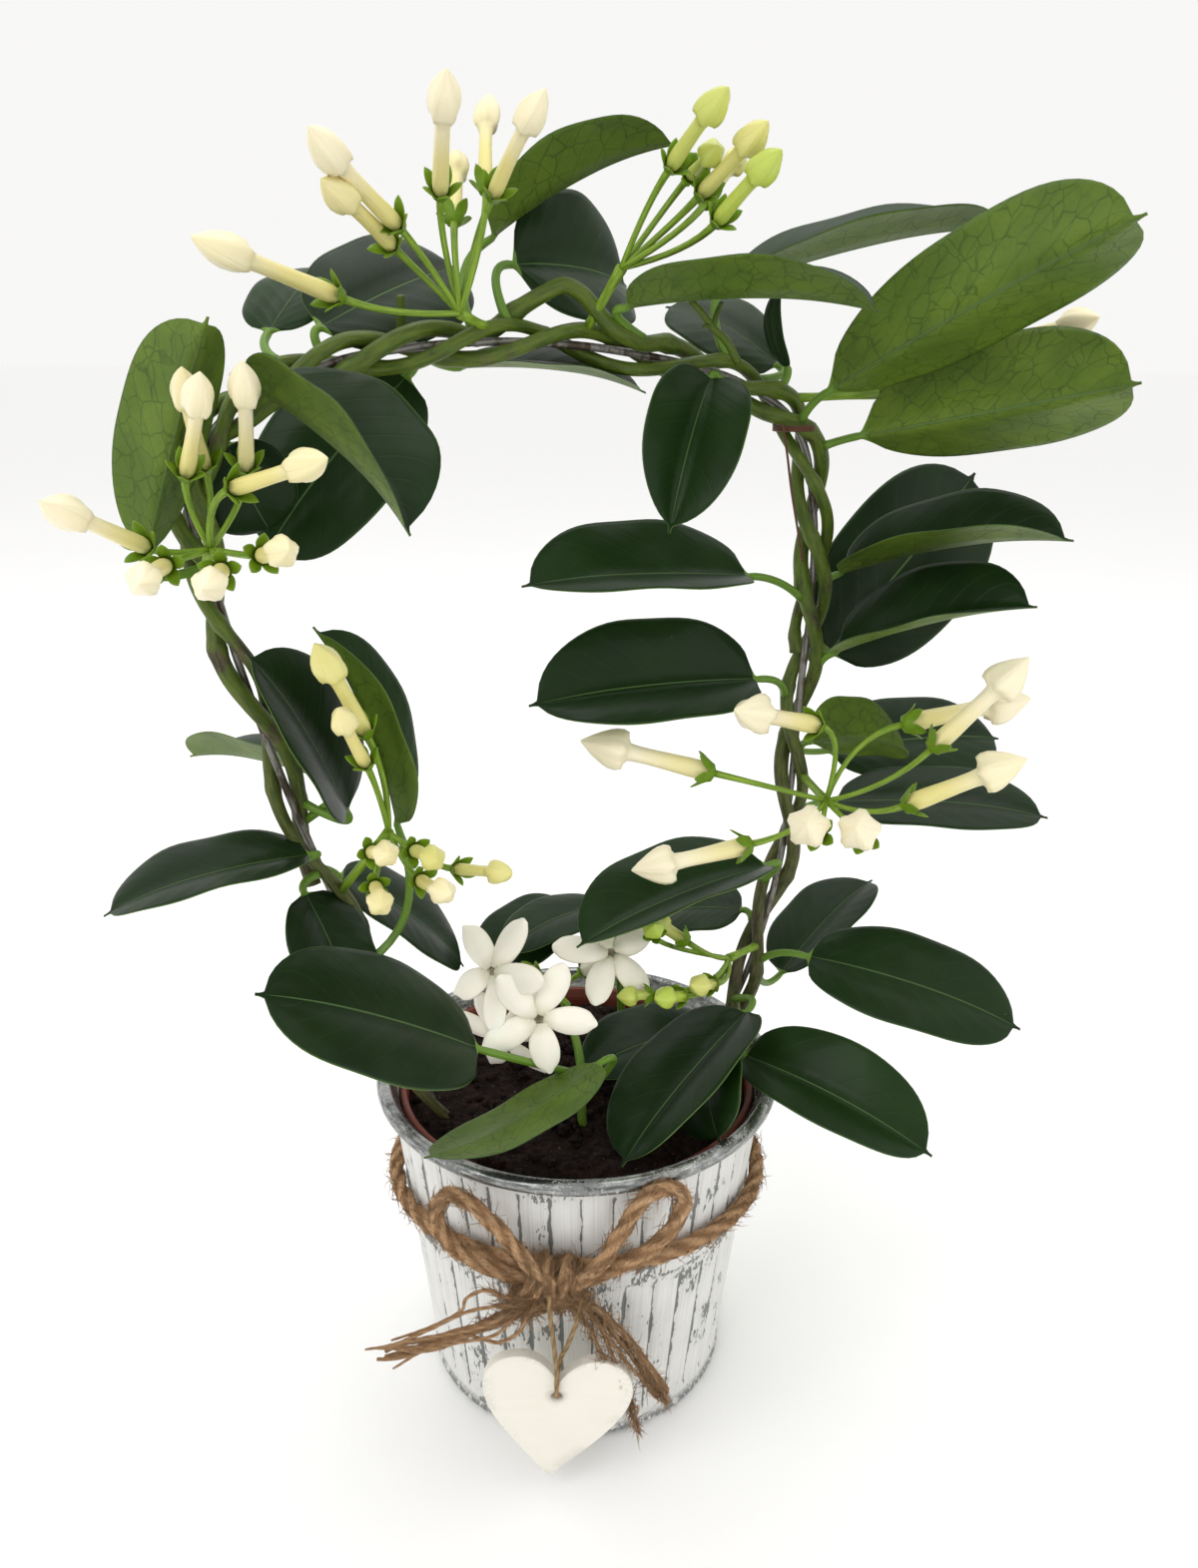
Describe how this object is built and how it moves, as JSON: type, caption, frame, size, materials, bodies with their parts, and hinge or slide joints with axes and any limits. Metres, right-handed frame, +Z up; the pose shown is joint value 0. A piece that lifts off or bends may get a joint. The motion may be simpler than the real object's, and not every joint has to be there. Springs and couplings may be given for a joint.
{
  "type": "potted madagascar jasmine",
  "caption": "Madagascar jasmine with glossy leaves and white waxy flowers, trained round a wire hoop in a whitewashed zinc pot with a twine bow and a wooden heart.",
  "frame": {"origin": "middle of the zinc pot's foot, on the floor", "axes": "+Z up, -Y towards the bow and the heart, +X to the right seen from the front"},
  "size_m": [0.2933, 0.2036, 0.4148],
  "materials": {
    "zinc": "worn whitewash over bare zinc",
    "nursery_plastic": "satin",
    "soil": "rough, crumbly",
    "wire": "dark, dull",
    "stem": "satin, partly corky",
    "leaf": "waxy gloss",
    "petal": "waxy",
    "twine": "hairy jute",
    "string": "thin jute",
    "painted_wood": "chalky white paint"
  },
  "bodies": {
    "root": {"zinc_pot": "zinc", "nursery_pot": "nursery_plastic", "soil": "soil", "wire_hoop": "wire", "vine_stem_a": "stem", "vine_stem_b": "stem", "vine_stem_c": "stem", "young_shoot_front": "leaf", "young_shoot_back": "leaf", "leaf_01": "leaf", "leaf_02": "leaf", "leaf_03": "leaf", "leaf_04": "leaf", "leaf_05": "leaf", "leaf_06": "leaf", "leaf_07": "leaf", "leaf_08": "leaf", "leaf_09": "leaf", "leaf_10": "leaf", "leaf_11": "leaf", "leaf_12": "leaf", "leaf_13": "leaf", "leaf_14": "leaf", "leaf_15": "leaf", "leaf_16": "leaf", "leaf_17": "leaf", "leaf_18": "leaf", "leaf_19": "leaf", "leaf_20": "leaf", "leaf_21": "leaf", "leaf_22": "leaf", "leaf_23": "leaf", "leaf_24": "leaf", "leaf_25": "leaf", "leaf_26": "leaf", "leaf_27": "leaf", "leaf_28": "leaf", "leaf_29": "leaf", "leaf_30": "leaf", "leaf_31": "leaf", "leaf_32": "leaf", "leaf_33": "leaf", "leaf_34": "leaf", "leaf_35": "leaf", "leaf_36": "leaf", "leaf_37": "leaf", "leaf_38": "leaf", "umbel_a": "petal", "umbel_b": "petal", "umbel_c": "petal", "umbel_d": "petal", "umbel_e": "petal", "umbel_f": "petal", "umbel_g": "petal", "open_flowers": "petal", "twine_bow": "twine", "rope_tail_left": "twine", "rope_tail_right": "twine", "heart_string": "string", "wooden_heart": "painted_wood"}
  },
  "joints": []
}
